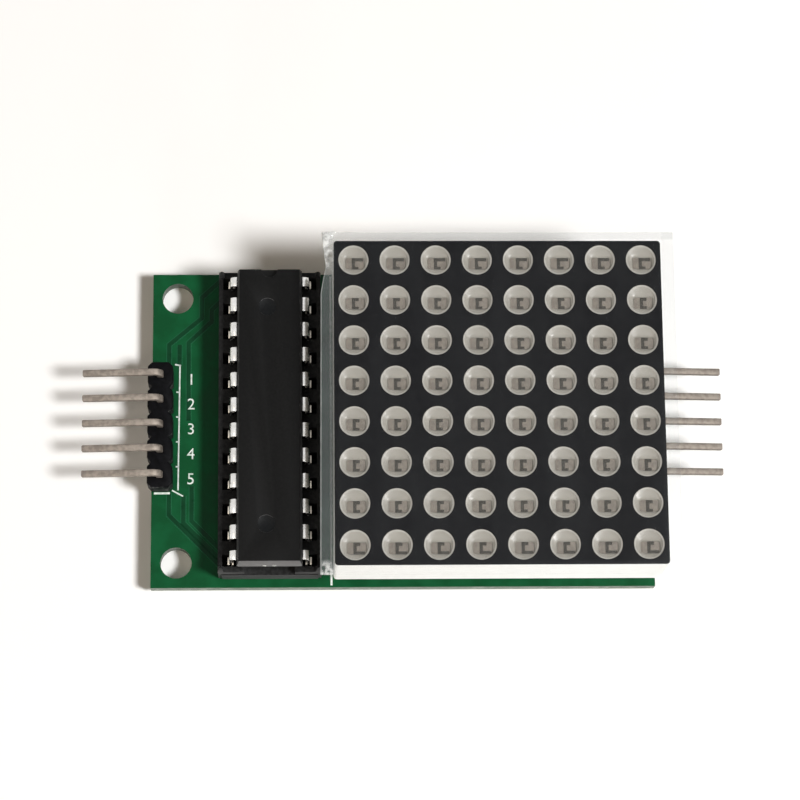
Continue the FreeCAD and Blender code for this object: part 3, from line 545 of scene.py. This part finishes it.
# Printed lines: beside the display, at the input holes, and a bracket with a tick between each two holes
inkTop = boardTop + board["inkRise"]
inkLines = [((-7.12, -15.8), (-7.12, 15.8)), ((-24.75, -6.5), (-23.15, -6.5))]
fineLines = [((-22.25, 6.6), (-22.35, -6.2)), ((-22.75, 6.65), (-22.15, 6.55)),
             ((-22.95, -6.2), (-21.85, -6.8))]
fineLines += [((-22.6, leadPitch * (step - 1.5)), (-22.3, leadPitch * (step - 1.5))) for step in range(4)]
bm = bmesh.new()
for lines, width in ((inkLines, board["lineWidth"]), (fineLines, board["fineWidth"])):
    for line in lines:
        addRibbon(bm, line, width, laidAt, inkTop)
for index in range(5):
    # Plain numbers, level with the middle of their holes. A digit is about 0.7 of its font's size
    curve = bpy.data.curves.new("padNumber", "FONT")
    curve.body = str(index + 1)
    curve.size = board["digitHeight"] * 1.4 * mm
    curve.extrude = board["digitHalf"] * mm
    curve.resolution_u = 4
    digit = newPiece("padNumber", curve)
    digitMesh = plainMesh(digit)
    digitY = leadPitch * (2 - index) + board["digitDrop"]
    place = Vector((board["digitX"], digitY, inkTop - board["digitHalf"]))
    digitMesh.transform(Matrix.Translation(place * mm))
    bm.from_mesh(digitMesh)
    bpy.data.objects.remove(digit)
settle(newPiece("boardInk", meshFrom(bm, "boardInk"), whiteInk))
for boardSlot in nodes["circuit_board"].material_slots:
    boardSlot.material = greenMask
print("board traces and ink laid")


# Wired parts under the display: their places, which their solder joints share

wire = dict(radius=0.23, bend=0.9, foot=-1.2)
resistor = dict(x=4.0, z=2.85, straight=3.0, reach=5.08)
ceramic = dict(x=9.0, y=-5.0, z=4.1, halfX=2.1, halfY=1.2, halfZ=1.8, drip=0.10, wireTop=3.2)
can = dict(y=3.5, z=3.7, leadX=8.6, leadStart=10.6, leadPitch=1.5)


# Solder on the underside

solderJoint = dict(profile=((1.0, 0.02), (0.97, -0.05), (0.78, -0.14), (0.58, -0.36), (0.45, -0.68),
                            (0.30, -0.86)),
                   steps=14, displayRows=24.0, chipRows=7.62, chipPlace=(-13.2, 0.1), headerSpan=48.2,
                   small=(0.72, 0.68, 1))


def solderMesh(name):
    bm = bmesh.new()
    loops = [loopAt(bm, ring(radius, solderJoint["steps"]), z) for radius, z in solderJoint["profile"]]
    for lower, upper in zip(loops, loops[1:]):
        bridge(bm, lower, upper)
    bm.faces.new(loops[0])
    bm.faces.new(loops[-1])
    bmesh.ops.recalc_face_normals(bm, faces=bm.faces)
    return meshFrom(bm, name)


# Name, columns, rows, column pitch, row pitch and middle of each group
joints = (("displaySolder", 8, 2, leadPitch, solderJoint["displayRows"], (displayX, 0.0)),
          ("socketSolder", 2, 12, solderJoint["chipRows"], leadPitch, solderJoint["chipPlace"]),
          ("headerSolder", 2, 5, solderJoint["headerSpan"], leadPitch, (0.0, 0.0)),
          ("resistorSolder", 1, 2, 1, 2 * resistor["reach"], (resistor["x"], 0.0)),
          ("ceramicSolder", 2, 1, leadPitch, 1, (ceramic["x"], ceramic["y"])),
          ("canSolder", 1, 2, 1, can["leadPitch"], (can["leadX"], can["y"])))
for name, columns, rows, columnPitch, rowPitch, place in joints:
    joint = solderMesh(name + "Drop")
    if name == "canSolder":
        joint.transform(Matrix.Diagonal((*solderJoint["small"], 1)))
    piece = gridPiece(name, joint, solder, columns, rows, columnPitch, rowPitch, (*place, 0))
    settle(smooth(piece, 70))
print("solder joints made")


# Display: moulded shell with reflector wells

shell = dict(perSide=8, pitch=4.0, wellRadius=1.45, wellSteps=36, corner=0.35, cornerSteps=5, faceRound=0.06,
             faceCorner=0.20, lip=0.02, faceHalf=15.94, footHalf=16.0, wall=1.2, cavityCorner=0.3, plate=3.4,
             padDepth=0.44, padX=1.84, padY=1.16, padShift=(0.12, -0.26), plugShare=0.998, plugGap=0.01)
underPlate = faceTop - shell["plate"]
padFloor = faceTop - shell["padDepth"]
endRow = shell["pitch"] * (shell["perSide"] - 1) / 2
wellPlaces = [(displayX + (shell["pitch"] * column - endRow), shell["pitch"] * row - endRow)
              for column in range(shell["perSide"]) for row in range(shell["perSide"])]


def padLoop(steps, x=0.0, y=0.0, inset=0.0, radius=0.2):
    # As many points as the well's rim, each on the ray of the same rim point
    halfX, halfY = shell["padX"] / 2 - inset, shell["padY"] / 2 - inset
    x, y = x + shell["padShift"][0], y + shell["padShift"][1]
    inX, inY = halfX - radius, halfY - radius
    points = []
    for px, py in ring(1.0, steps):
        reach = min(halfX / max(abs(px), 1e-6), halfY / max(abs(py), 1e-6))
        spotX, spotY = px * reach, py * reach
        if abs(spotX) > inX and abs(spotY) > inY:
            corner = Vector((inX if px > 0 else -inX, inY if py > 0 else -inY))
            out = (Vector((spotX, spotY)) - corner).normalized() * radius
            spotX, spotY = corner.x + out.x, corner.y + out.y
        points.append((x + spotX, y + spotY))
    return points


def capWithHoles(bm, outer, holes, up, material):
    # Fills between an outline and holes with triangles
    edges = []
    for loop in [outer] + holes:
        for first, second in zip(loop, loop[1:] + loop[:1]):
            edges.append(bm.edges.get((first, second)) or bm.edges.new((first, second)))
    made = bmesh.ops.triangle_fill(bm, use_beauty=True, use_dissolve=False, edges=edges,
                                   normal=(0, 0, 1 if up else -1))["geom"]
    for face in made:
        if isinstance(face, bmesh.types.BMFace):
            face.material_index = material
            if (face.normal.z > 0) != up:
                face.normal_flip()


# The shell's outer skin, its face with the wells' rims, and the cavity in its back
bm = bmesh.new()
outline = dict(x=displayX, y=0)
corner, faceRound = shell["corner"], shell["faceRound"]
skinRows = [(shell["footHalf"], shellLow.z, corner), (shell["footHalf"] - 0.01, shellLow.z + 0.2, corner),
            (shell["faceHalf"], faceTop - faceRound, corner)]
for step in range(1, 5):
    turn = pi / 2 * step / 4
    skinRows.append((shell["faceHalf"] - faceRound * (1 - cos(turn)), faceTop - faceRound * (1 - sin(turn)),
                     corner - (corner - shell["faceCorner"]) * (1 - cos(turn))))
skin = [loopAt(bm, roundedBox(half, half, radius, shell["cornerSteps"], **outline), z)
        for half, z, radius in skinRows]
for level, (lower, upper) in enumerate(zip(skin, skin[1:])):
    bridge(bm, lower, upper, 1 if level >= 2 else 0)
wellRims = [loopAt(bm, ring(shell["wellRadius"] + shell["lip"], shell["wellSteps"], x, y), faceTop)
            for x, y in wellPlaces]
capWithHoles(bm, skin[-1], wellRims, True, 1)
inside = shell["footHalf"] - shell["wall"]
cavity = [loopAt(bm, roundedBox(inside, inside, shell["cavityCorner"], shell["cornerSteps"], **outline), z)
          for z in (underPlate, shellLow.z)]
wellEnds = [loopAt(bm, padLoop(shell["wellSteps"], x, y), underPlate) for x, y in wellPlaces]
capWithHoles(bm, cavity[0], wellEnds, False, 0)
bridge(bm, cavity[0], cavity[1])
bridge(bm, cavity[1], skin[0])
shellMesh = meshFrom(bm, "displayShell")

# One well's cup, from its rim in the face down to the pad's opening in the plate
bm = bmesh.new()
cupRows = [(ring(shell["wellRadius"] + shell["lip"], shell["wellSteps"]), faceTop),
           (ring(shell["wellRadius"] + 0.005, shell["wellSteps"]), faceTop - 0.03),
           (ring(shell["wellRadius"], shell["wellSteps"]), faceTop - 0.12)]
rim, pad = ring(shell["wellRadius"], shell["wellSteps"]), padLoop(shell["wellSteps"])
# Share of the way from rim to pad, and depth
cupSlope = ((0.01, 0.13), (0.05, 0.17), (0.12, 0.19), (0.55, 0.25), (0.88, 0.32), (1.0, 0.42))


def cupLoop(share):
    return [(a[0] + (b[0] - a[0]) * share, a[1] + (b[1] - a[1]) * share) for a, b in zip(rim, pad)]


for share, depth in cupSlope:
    cupRows.append((cupLoop(share), faceTop - depth))
cupRows.append((pad, underPlate))
loops = [loopAt(bm, points, z) for points, z in cupRows]
for upper, lower in zip(loops, loops[1:]):
    bridge(bm, upper, lower)
cupMesh = meshFrom(bm, "cup")
grid = dict(columns=shell["perSide"], rows=shell["perSide"], columnPitch=shell["pitch"],
            rowPitch=shell["pitch"], centre=(displayX, 0, 0))
displayShell = gridPiece("displayShell", cupMesh, cupWhitePaintedShade, carrier=shellMesh,
                         extra=(whitePlastic, blackPrint), **grid)
smooth(displayShell, 40)
settle(displayShell, ["matrix_housing"])
print("display shell", len(displayShell.data.polygons), "faces")


# Display: cast resin, dice and inner board

# A plug's flank, its meniscus ring painted pale as a highlight, and its shallow dish, as shares of the well's
# radius and heights
bm = bmesh.new()
plugRows = ((shell["plugShare"], -0.10), (shell["plugShare"], -0.035), (0.91, -0.060), (0.77, -0.075),
            (0.47, -0.085))
loops = [loopAt(bm, ring(share * shell["wellRadius"], shell["wellSteps"]), faceTop + z)
         for share, z in plugRows]
for level, (lower, upper) in enumerate(zip(loops, loops[1:])):
    bridge(bm, lower, upper, 2 if level == 1 else 0)
bm.faces.new(loops[-1])
under = [loopAt(bm, [(x * shell["plugShare"], y * shell["plugShare"]) for x, y in cupLoop(share)],
                faceTop - depth + shell["plugGap"]) for share, depth in ((0.0, 0.12),) + cupSlope]
flanks = [loops[0]] + under
for upper, lower in zip(flanks, flanks[1:]):
    bridge(bm, lower, upper, 1)
bm.faces.new(list(reversed(under[-1]))).material_index = 1
bmesh.ops.recalc_face_normals(bm, faces=bm.faces)
plug = meshFrom(bm, "resinPlug")
for material in (milkyResin, resinFlank, resinRimHighlight):
    plug.materials.append(material)
ledWindows = gridPiece("ledWindows", plug, milkyResin, repaint=False, **grid)
smooth(ledWindows, 50)
settle(ledWindows, ["led_windows"])

innerLow, innerHigh = boxOf("led_board")
bm = bmesh.new()
addBlock(bm, innerLow, innerHigh)
innerMesh = meshFrom(bm, "innerBoard")
bm = bmesh.new()
padTop = loopAt(bm, padLoop(shell["wellSteps"], inset=shell["plugGap"]), padFloor)
padFoot = loopAt(bm, padLoop(shell["wellSteps"], inset=shell["plugGap"]), innerHigh.z - overlap)
bridge(bm, padFoot, padTop)
bm.faces.new(padTop)
bm.faces.new(list(reversed(padFoot)))
innerBoard = gridPiece("innerBoard", meshFrom(bm, "padBlock"), padBrown, carrier=innerMesh,
                       extra=(paleLaminate,), **grid)
settle(smooth(innerBoard), ["led_board"])

# Each well's contact frame is a dark C with a tab on the end rows
mark = dict(left=-0.29, right=0.37, top=0.565, foot=-0.565, upper=0.33, side=0.32, lower=0.27, tab=0.82,
            rise=0.012)


def markBars(row):
    bars = [(mark["left"], mark["top"] - mark["upper"], mark["right"], mark["top"]),
            (mark["left"], mark["foot"], mark["left"] + mark["side"], mark["top"]),
            (mark["left"], mark["foot"], mark["right"], mark["foot"] + mark["lower"])]
    if row == "top":
        bars.append((mark["right"], mark["top"] - mark["upper"], mark["tab"], mark["top"]))
    if row == "foot":
        bars.append((mark["right"], mark["foot"], mark["tab"], mark["foot"] + mark["lower"]))
    return bars


for name, row, count, y in (("diceTop", "top", 1, endRow), ("diceMiddle", "", shell["perSide"] - 2, 0.0),
                            ("diceFoot", "foot", 1, -endRow)):
    bm = bmesh.new()
    for left, foot, right, top in markBars(row):
        addBlock(bm, (left, foot, padFloor - overlap), (right, top, padFloor + mark["rise"]))
    piece = gridPiece(name, meshFrom(bm, name + "Mark"), padMark, shell["perSide"], count, shell["pitch"],
                      shell["pitch"], (displayX + shell["padShift"][0], y + shell["padShift"][1], 0))
    settle(piece)
print("windows and dice placed")


# Protective film, laid on the display and standing past it

# Its cut edge on the left wanders: cutLine says how far back it stands from left, by place along y
film = dict(left=-8.25, right=26.17, front=-16.85, back=16.75, lift=0.03, thick=0.05, across=110, down=110,
            rim=0.1, ripple=0.01, puckerReach=5.0, pucker=(0.35, 0.22, 0.15), curl=(0.10, 0.06), cutColumns=8,
            cutLine=((-17, -0.08), (0, 0.0), (10.7, 0.06), (11.7, 0.24), (13.2, 0.56), (15.6, 0.26),
                     (17, 0.14)))


def filmHeight(x, y):
    # Nearly flat on the face, puckered at the back left corner and lightly curled past the left edge
    height = film["ripple"] * (1 + sin(0.9 * x + 0.5 * y))
    cornerX = max(0.0, 1 - (x - film["left"]) / film["puckerReach"])
    cornerY = max(0.0, 1 - (film["back"] - y) / film["puckerReach"])
    rise, wave, crease = film["pucker"]
    height += cornerX * cornerY * (rise + wave * sin(3.1 * x - 2.3 * y) + crease * sin(5.3 * x + 1.9 * y))
    past = max(0.0, shellLow.x + 0.15 - x)
    slow, quick = film["curl"]
    return height + past * (slow * sin(0.55 * y + 0.8) + quick * sin(1.7 * y))


def cutBack(y):
    for (low, first), (high, second) in zip(film["cutLine"], film["cutLine"][1:]):
        if low <= y <= high:
            return first + (second - first) * (y - low) / (high - low)
    return 0.0


def filmLattice(bm, rise):
    # Rows of points from front to back. The first column is the film's rim
    lattice = []
    for row in range(film["down"] + 1):
        y = film["front"] + (film["back"] - film["front"]) * row / film["down"]
        line = []
        for column in range(film["across"] + 1):
            x = film["left"] + (film["right"] - film["left"]) * (column / film["across"])
            if column == 1:
                x = film["left"] + film["rim"]
            back = cutBack(y) * max(0.0, 1 - column / film["cutColumns"])
            z = faceTop + film["lift"] + filmHeight(x, y) + rise
            line.append(bm.verts.new(((x + back) * mm, y * mm, z * mm)))
        lattice.append(line)
    return lattice


bm = bmesh.new()
top = filmLattice(bm, film["thick"])
under = filmLattice(bm, 0.0)
for row in range(film["down"]):
    for column in range(film["across"]):
        places = ((row, column), (row, column + 1), (row + 1, column + 1), (row + 1, column))
        bm.faces.new([top[down][across] for down, across in places]).material_index = 0 if column else 1
        bm.faces.new([under[down][across] for down, across in reversed(places)])


def borderOf(lattice):
    return (lattice[0][:-1] + [line[-1] for line in lattice[:-1]] + lattice[-1][:0:-1]
            + [line[0] for line in lattice[:0:-1]])


bridge(bm, borderOf(under), borderOf(top), 1)
filmSheet = smooth(newPiece("filmSheet", meshFrom(bm, "filmSheet"), clearFilm, filmRim), 60)
settle(filmSheet, ["protective_film"])
print("film laid")


# Pins, strips, headers and sockets: the frame's own shapes with their edges broken

softened = (("matrix_pins_front", "matrixPinsFront", wireTin, "tinned_wire", 0.06),
            ("matrix_pins_rear", "matrixPinsRear", wireTin, "tinned_wire", 0.06),
            ("display_socket_front", "displayStripFront", blackNylon, "black_socket", 0.08),
            ("display_socket_rear", "displayStripRear", blackNylon, "black_socket", 0.08),
            ("display_contacts_front", "stripContactsFront", springTin, "spring_metal", 0.03),
            ("display_contacts_rear", "stripContactsRear", springTin, "spring_metal", 0.03),
            ("ic_socket", "chipSocket", blackNylon, "black_socket", 0.08),
            ("ic_socket_contacts", "chipContacts", springTin, "spring_metal", 0.03),
            ("driver_ic_leads", "chipLeads", brightTin, "tinned_lead", 0.035),
            ("input_header", "inputHeader", headerBlack, "black_header", 0.10, headerEndPaintedLight),
            ("output_header", "outputHeader", headerBlack, "black_header", 0.10, headerEndPaintedLight),
            ("input_pins", "inputPins", dullTin, "header_pin", 0.09),
            # The output pins take the tin painted darker as shade
            ("output_pins", "outputPins", tinPaintedShade, "header_pin", 0.09),
            ("potting_resin", "pottingFill", pottingGel, "potting", 0.05),
            ("capacitor_bung", "canBung", bungRubber, "rubber_bung", 0.12))
for settings in softened:
    softenedNode(*settings)
print("pins, strips and headers finished")


# Driver chip with its two ejector marks and its cut tie bars

chip = dict(edge=0.10, marks=((-13.4, 10.89), (-13.5, -10.83)), markRadius=0.87, markSink=0.07,
            markSteps=40, barSpread=0.48, barWidth=0.34, barHeight=0.25, barStand=0.03, barSunk=0.3)
chipLow, chipHigh = boxOf("driver_ic")
chipBody = newPiece("chipBody", meshFrom(mergedCopy("driver_ic"), "chipBody"), chipBlack, chipMark, chipEndPaintedLight)
bm = bmesh.new()
for x, y in chip["marks"]:
    foot = loopAt(bm, ring(chip["markRadius"], chip["markSteps"], x, y), chipHigh.z - chip["markSink"])
    head = loopAt(bm, ring(chip["markRadius"], chip["markSteps"], x, y), chipHigh.z + 0.5)
    bridge(bm, foot, head)
    bm.faces.new(head)
    bm.faces.new(list(reversed(foot)))
cutter = newPiece("markCutter", meshFrom(bm, "markCutter"))
cut = chipBody.modifiers.new("marks", "BOOLEAN")
cut.object = cutter
cut.solver = "EXACT"
applyModifiers(chipBody)
bpy.data.objects.remove(cutter)
for face in chipBody.data.polygons:
    depth = chipHigh.z - face.center.z / mm
    sunk = 0.01 < depth < chip["markSink"] * 1.1 and face.normal.z > 0.5
    # Faces across y are the end faces, which take the finish painted lighter as painted light from the front
    face.material_index = 1 if sunk else 2 if abs(face.normal.y) > 0.7 else 0
breakEdges(chipBody, chip["edge"], 20)
settle(smooth(chipBody), ["driver_ic"])
bm = bmesh.new()
chipX, chipZ = (chipLow.x + chipHigh.x) / 2, (chipLow.z + chipHigh.z) / 2
for side, chipEndY in ((-1, chipLow.y), (1, chipHigh.y)):
    outer, inner = chipEndY + side * chip["barStand"], chipEndY - side * chip["barSunk"]
    for x in (chipX - chip["barSpread"], chipX + chip["barSpread"]):
        addBlock(bm, (x - chip["barWidth"] / 2, min(outer, inner), chipZ),
                 (x + chip["barWidth"] / 2, max(outer, inner), chipZ + chip["barHeight"]))
settle(newPiece("chipTieBars", meshFrom(bm, "chipTieBars"), brightTin))
print("chip finished")


# Components under the display

halfProfile = [(-resistorHalf, 0), (-resistorHalf, 0.35), (-3.05, 0.75), (-2.8, 1.02), (-2.45, 1.14),
               (-1.95, 1.14), (-1.6, 1.05), (-1.3, 1.0)]
resistorProfile = halfProfile + [(-x, radius) for x, radius in reversed(halfProfile)]
resistorMesh = meshFrom(lathe(resistorProfile, 32), "resistorBody")
resistorMesh.transform(Matrix.Translation(Vector((resistor["x"], 0, resistor["z"])) * mm)
                       @ Matrix.Rotation(pi / 2, 4, "Z"))
settle(smooth(newPiece("resistorBody", resistorMesh, bandedLacquer), 50), ["resistor_body"])

# The can's sleeve from its open end, over the bead that holds the bung, to the flat back
canProfile = ((11.38, 0), (11.38, 1.72), (10.56, 1.72), (10.5, 1.78), (10.56, 1.9), (10.75, 1.97),
              (11.45, 1.98), (11.62, 1.90), (11.75, 1.80), (11.92, 1.80), (12.05, 1.90), (12.22, 1.98),
              (17.15, 1.98), (17.38, 1.92), (17.48, 1.76), (17.5, 1.55), (17.44, 1.5), (17.44, 0))
canMesh = meshFrom(lathe(canProfile, 48), "capacitorCan")
canMesh.transform(Matrix.Translation(Vector((0, can["y"], can["z"])) * mm))
settle(smooth(newPiece("capacitorCan", canMesh, sleeve), 40), ["capacitor_can"])

# The dipped capacitor is a flattened ball, a little fuller at its ends, with a drip between its leads
bm = bmesh.new()
bmesh.ops.create_icosphere(bm, subdivisions=4, radius=1)
for vert in bm.verts:
    x, y, z = vert.co
    drip = ceramic["drip"] * max(0.0, -z - 0.5)
    vert.co = Vector((ceramic["x"] + ceramic["halfX"] * x * (1.02 + 0.06 * abs(z)) / 1.08,
                      ceramic["y"] + ceramic["halfY"] * y * (1 - 0.1 * z * z),
                      ceramic["z"] + ceramic["halfZ"] * z - drip)) * mm
ceramicBody = smooth(newPiece("ceramicBody", meshFrom(bm, "ceramicBody"), ochreDip), 60)
settle(ceramicBody, ["ceramic_capacitor"])

resistorRoutes = []
ceramicRoutes = []
canRoutes = []
for sign in (1, -1):
    x, y, z = resistor["x"], sign * resistor["reach"], resistor["z"]
    resistorRoutes.append([(x, sign * resistor["straight"], z), (x, y, z), (x, y, wire["foot"])])
    x, y = ceramic["x"] + sign * leadPitch / 2, ceramic["y"]
    ceramicRoutes.append([(x, y, ceramic["wireTop"]), (x, y, wire["foot"])])
    x, y, z = can["leadX"], can["y"] - sign * can["leadPitch"] / 2, can["z"]
    canRoutes.append([(can["leadStart"], y, z), (x, y, z), (x, y, wire["foot"])])
for name, routes, bend, node in (("resistorWires", resistorRoutes, wire["bend"], "resistor_leads"),
                                 ("ceramicWires", ceramicRoutes, 0.1, "ceramic_capacitor_leads"),
                                 ("canWires", canRoutes, wire["bend"], "capacitor_leads")):
    settle(wirePiece(name, routes, wire["radius"], bend, wireTin), [node])
print("components finished")


# Floor, light and camera

def seenDirectly(tree):
    # 1 for rays from the camera, a mirror or a clear piece, and 0 for the light that falls on the object
    rays = tree.nodes.new("ShaderNodeLightPath").outputs
    shown = rays["Is Camera Ray"]
    for kind in ("Is Glossy Ray", "Is Transmission Ray"):
        shown = addTreeNode(tree, "ShaderNodeMath", {0: shown, 1: rays[kind]}, operation="MAXIMUM").outputs[0]
    return shown


studio = dict(floorHalf=0.6, paperGlow=0.05, worldLight=0.03, worldSeen=1.0)
bm = bmesh.new()
bmesh.ops.create_grid(bm, x_segments=1, y_segments=1, size=studio["floorHalf"])
bmesh.ops.translate(bm, vec=(0, 0, wire["foot"] * mm), verts=bm.verts)
paper = startMaterial("paper", (0.98, 0.975, 0.965), 0.9, **{"Emission Color": (1, 0.82, 0.62, 1)})
glow = compute(paper, "MULTIPLY", seenDirectly(paper.node_tree), studio["paperGlow"])
setLink(paper, "Emission Strength", glow)
floor = newPiece("paperFloor", meshFrom(bm, "paperFloor"), paper)

world = bpy.context.scene.world or bpy.data.worlds.new("studio")
bpy.context.scene.world = world
world.use_nodes = True
backdrop = world.node_tree.nodes["Background"]
backdrop.inputs["Color"].default_value = (1, 1, 1, 1)
strength = addTreeNode(world.node_tree, "ShaderNodeMapRange", {
    "Value": seenDirectly(world.node_tree), "To Min": studio["worldLight"], "To Max": studio["worldSeen"]})
world.node_tree.links.new(strength.outputs[0], backdrop.inputs["Strength"])

# Name, place, size, power and colour: the light falls mostly from the right
lamps = (("keyLamp", (0.46, -0.22, 0.84), 0.21, 9.8, (1, 1, 1)),
         ("softLamp", (-0.36, -0.24, 0.78), 0.50, 1.15, (1, 0.85, 0.68)),
         ("frontLamp", (-0.03, -0.43, 0.05), 0.09, 0.55, (1, 1, 1)))
for name, place, size, power, colour in lamps:
    light = bpy.data.lights.new(name, "AREA")
    light.shape = "DISK"
    light.size = size
    light.energy = power
    light.color = colour
    lamp = bpy.data.objects.new(name, light)
    lamp.location = place
    lamp.rotation_euler = (-Vector(place)).to_track_quat("-Z", "Y").to_euler()
    lamp.visible_camera = False
    bpy.context.scene.collection.objects.link(lamp)

# The camera's place in millimetres and its three axes, as fitted to the photo
view = dict(place=(-10.446, -61.705, 292.514), right=(0.9994, -0.00987, 0.03316),
            up=(0.00162, 0.97076, 0.24003), back=(-0.03456, -0.23983, 0.9702), lens=133.45, shiftY=-0.0875)
eye = bpy.data.cameras.new("photoView")
eye.lens = view["lens"]
eye.sensor_width = 36
eye.shift_y = view["shiftY"]
eye.clip_start = 0.005
camera = bpy.data.objects.new("photoView", eye)
turn = Matrix((view["right"], view["up"], view["back"])).transposed()
camera.matrix_world = Matrix.Translation(Vector(view["place"]) * mm) @ turn.to_4x4()
bpy.context.scene.collection.objects.link(camera)
bpy.context.scene.camera = camera
bpy.context.scene.view_settings.view_transform = "Standard"

print("camera, light and floor set")
